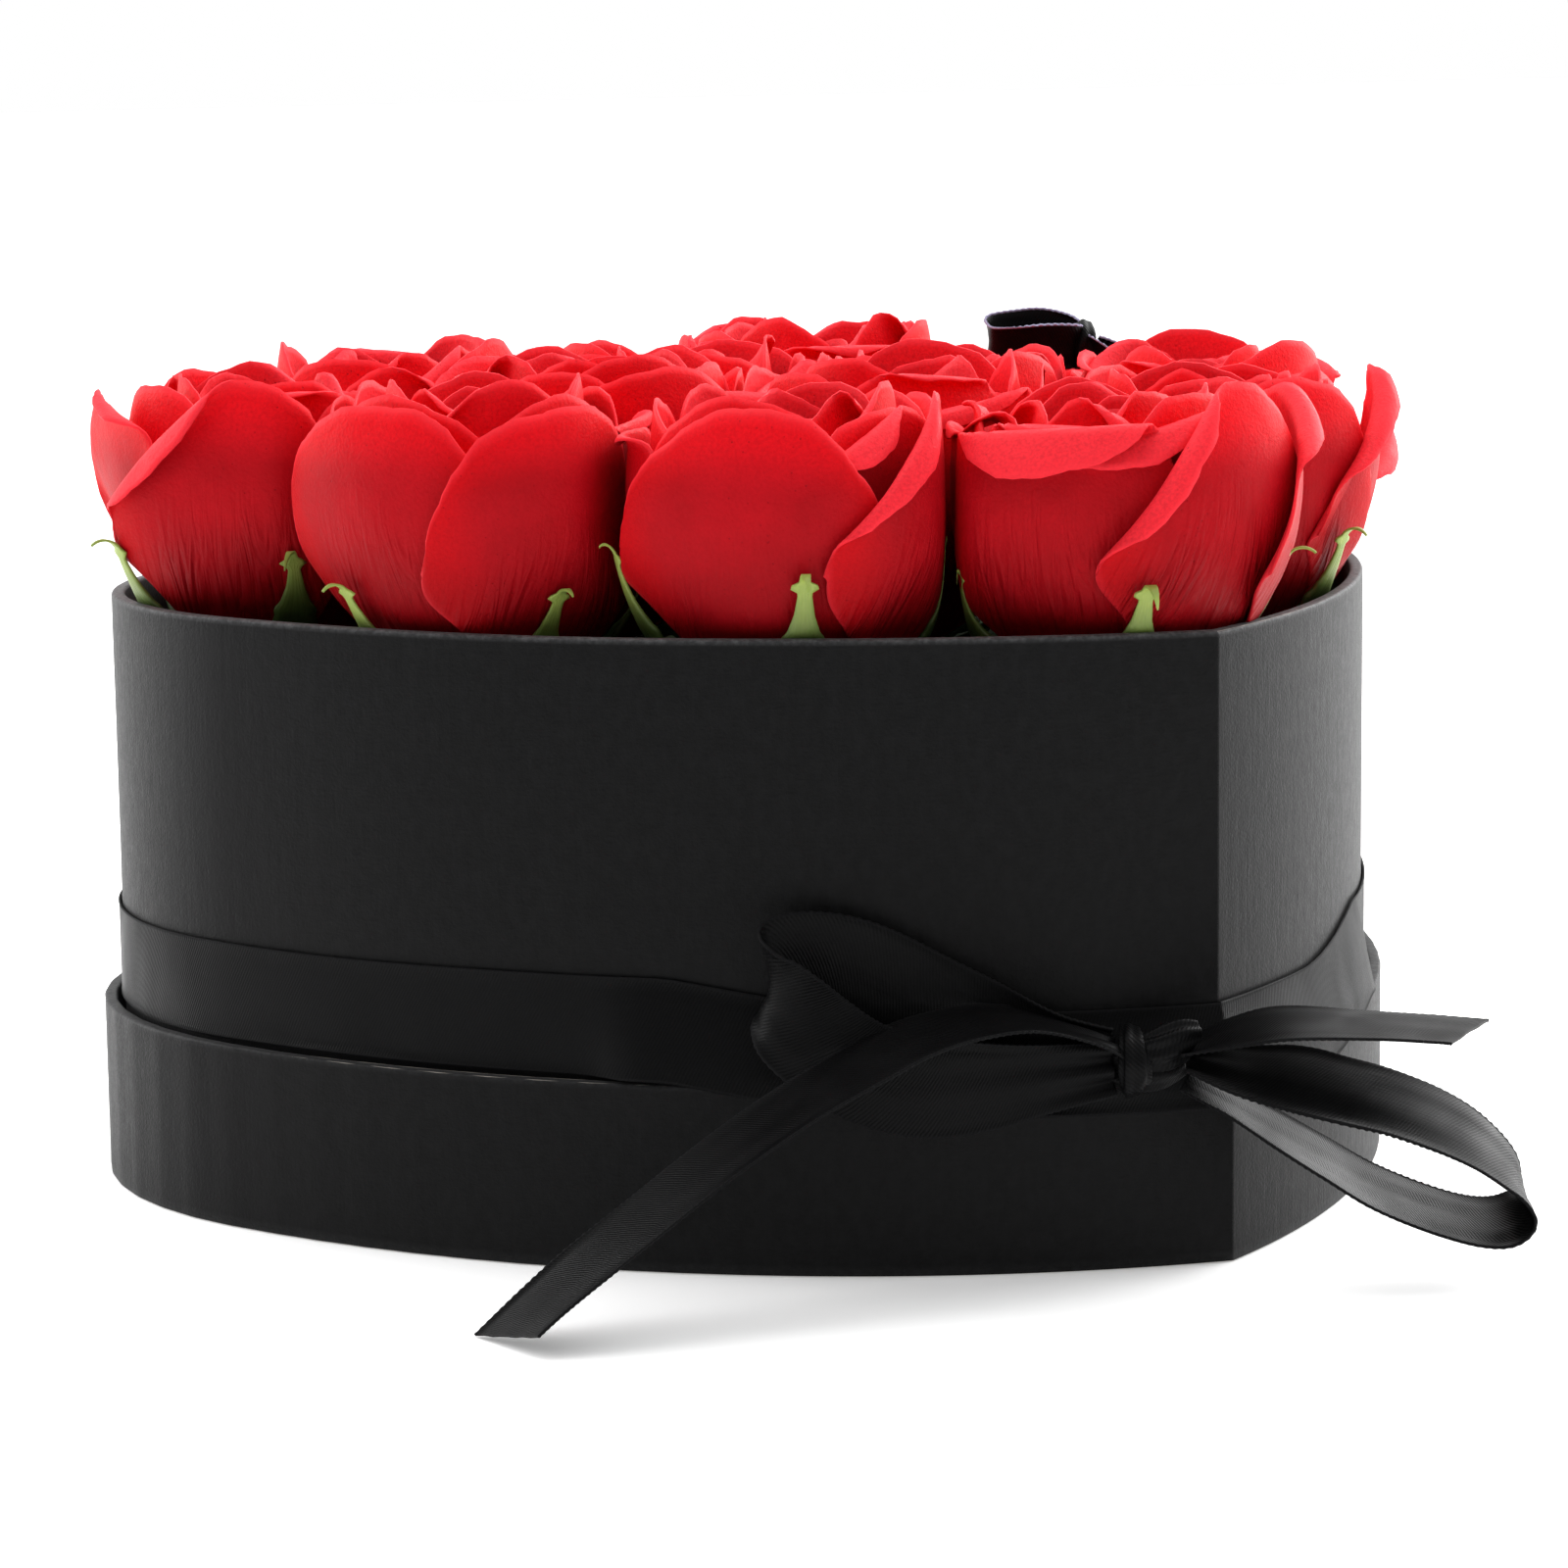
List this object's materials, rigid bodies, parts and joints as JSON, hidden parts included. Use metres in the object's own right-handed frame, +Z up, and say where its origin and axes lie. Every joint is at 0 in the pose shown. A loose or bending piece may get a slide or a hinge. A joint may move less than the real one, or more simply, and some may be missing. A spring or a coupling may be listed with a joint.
{
  "type": "heart-shaped flower box",
  "caption": "Black heart-shaped card box standing in its own upturned lid, tied with a satin ribbon bow and filled with red soap rose heads.",
  "frame": {"origin": "underside of the lid's panel, at the middle of the heart's outline", "axes": "+Z up out of the box, the heart is symmetric about X = 0, its point faces -Y and its lobes +Y"},
  "size_m": [0.238, 0.2486, 0.1418],
  "materials": {
    "greyboard": "matt greyboard",
    "cover_paper": "satin, linen-embossed",
    "lining_paper": "matt",
    "foam": "open-cell floral foam",
    "satin_ribbon": "satin weave with stitched edges",
    "rose_soap": "soft waxy soap flake",
    "calyx_green": "moulded, matt",
    "pick": "moulded, matt"
  },
  "bodies": {
    "tray": {"lid_panel": "greyboard", "lid_wall": "greyboard", "lid_wrap": "cover_paper"},
    "box": {"box_floor": "greyboard", "box_wall": "greyboard", "box_wrap": "cover_paper", "box_lining": "lining_paper", "foam_block": "foam", "ribbon_band": "satin_ribbon", "bow_knot": "satin_ribbon", "bow_loop_left": "satin_ribbon", "bow_loop_right": "satin_ribbon", "bow_tail_left": "satin_ribbon", "bow_tail_right": "satin_ribbon"},
    "rose_01": {"rose_01_calyx": "calyx_green", "rose_01_petals": "rose_soap", "rose_01_bud": "rose_soap"},
    "rose_02": {"rose_02_calyx": "calyx_green", "rose_02_petals": "rose_soap", "rose_02_bud": "rose_soap"},
    "rose_03": {"rose_03_calyx": "calyx_green", "rose_03_petals": "rose_soap", "rose_03_bud": "rose_soap"},
    "rose_04": {"rose_04_calyx": "calyx_green", "rose_04_petals": "rose_soap", "rose_04_bud": "rose_soap"},
    "rose_05": {"rose_05_calyx": "calyx_green", "rose_05_petals": "rose_soap", "rose_05_bud": "rose_soap"},
    "rose_06": {"rose_06_calyx": "calyx_green", "rose_06_petals": "rose_soap", "rose_06_bud": "rose_soap"},
    "rose_07": {"rose_07_calyx": "calyx_green", "rose_07_petals": "rose_soap", "rose_07_bud": "rose_soap"},
    "rose_08": {"rose_08_calyx": "calyx_green", "rose_08_petals": "rose_soap", "rose_08_bud": "rose_soap"},
    "rose_09": {"rose_09_calyx": "calyx_green", "rose_09_petals": "rose_soap", "rose_09_bud": "rose_soap"},
    "rose_10": {"rose_10_calyx": "calyx_green", "rose_10_petals": "rose_soap", "rose_10_bud": "rose_soap"},
    "rose_11": {"rose_11_calyx": "calyx_green", "rose_11_petals": "rose_soap", "rose_11_bud": "rose_soap"},
    "rose_12": {"rose_12_calyx": "calyx_green", "rose_12_petals": "rose_soap", "rose_12_bud": "rose_soap"},
    "rose_13": {"rose_13_calyx": "calyx_green", "rose_13_petals": "rose_soap", "rose_13_bud": "rose_soap"},
    "top_bow": {"top_bow_loops": "satin_ribbon", "top_bow_knot": "satin_ribbon", "top_bow_pick": "pick"}
  },
  "joints": [
    {"name": "box_lift", "type": "slide", "parent": "tray", "child": "box", "axis": [0, 0, 1], "range_m": [0, 0.06]},
    {"name": "rose_01_lift", "type": "slide", "parent": "box", "child": "rose_01", "axis": [0, 0, 1], "range_m": [0, 0.06]},
    {"name": "rose_02_lift", "type": "slide", "parent": "box", "child": "rose_02", "axis": [0, 0, 1], "range_m": [0, 0.06]},
    {"name": "rose_03_lift", "type": "slide", "parent": "box", "child": "rose_03", "axis": [0, 0, 1], "range_m": [0, 0.06]},
    {"name": "rose_04_lift", "type": "slide", "parent": "box", "child": "rose_04", "axis": [0, 0, 1], "range_m": [0, 0.06]},
    {"name": "rose_05_lift", "type": "slide", "parent": "box", "child": "rose_05", "axis": [0, 0, 1], "range_m": [0, 0.06]},
    {"name": "rose_06_lift", "type": "slide", "parent": "box", "child": "rose_06", "axis": [0, 0, 1], "range_m": [0, 0.06]},
    {"name": "rose_07_lift", "type": "slide", "parent": "box", "child": "rose_07", "axis": [0, 0, 1], "range_m": [0, 0.06]},
    {"name": "rose_08_lift", "type": "slide", "parent": "box", "child": "rose_08", "axis": [0, 0, 1], "range_m": [0, 0.06]},
    {"name": "rose_09_lift", "type": "slide", "parent": "box", "child": "rose_09", "axis": [0, 0, 1], "range_m": [0, 0.06]},
    {"name": "rose_10_lift", "type": "slide", "parent": "box", "child": "rose_10", "axis": [0, 0, 1], "range_m": [0, 0.06]},
    {"name": "rose_11_lift", "type": "slide", "parent": "box", "child": "rose_11", "axis": [0, 0, 1], "range_m": [0, 0.06]},
    {"name": "rose_12_lift", "type": "slide", "parent": "box", "child": "rose_12", "axis": [0, 0, 1], "range_m": [0, 0.06]},
    {"name": "rose_13_lift", "type": "slide", "parent": "box", "child": "rose_13", "axis": [0, 0, 1], "range_m": [0, 0.06]},
    {"name": "top_bow_lift", "type": "slide", "parent": "rose_06", "child": "top_bow", "axis": [0, 0, 1], "range_m": [0, 0.04]}
  ]
}
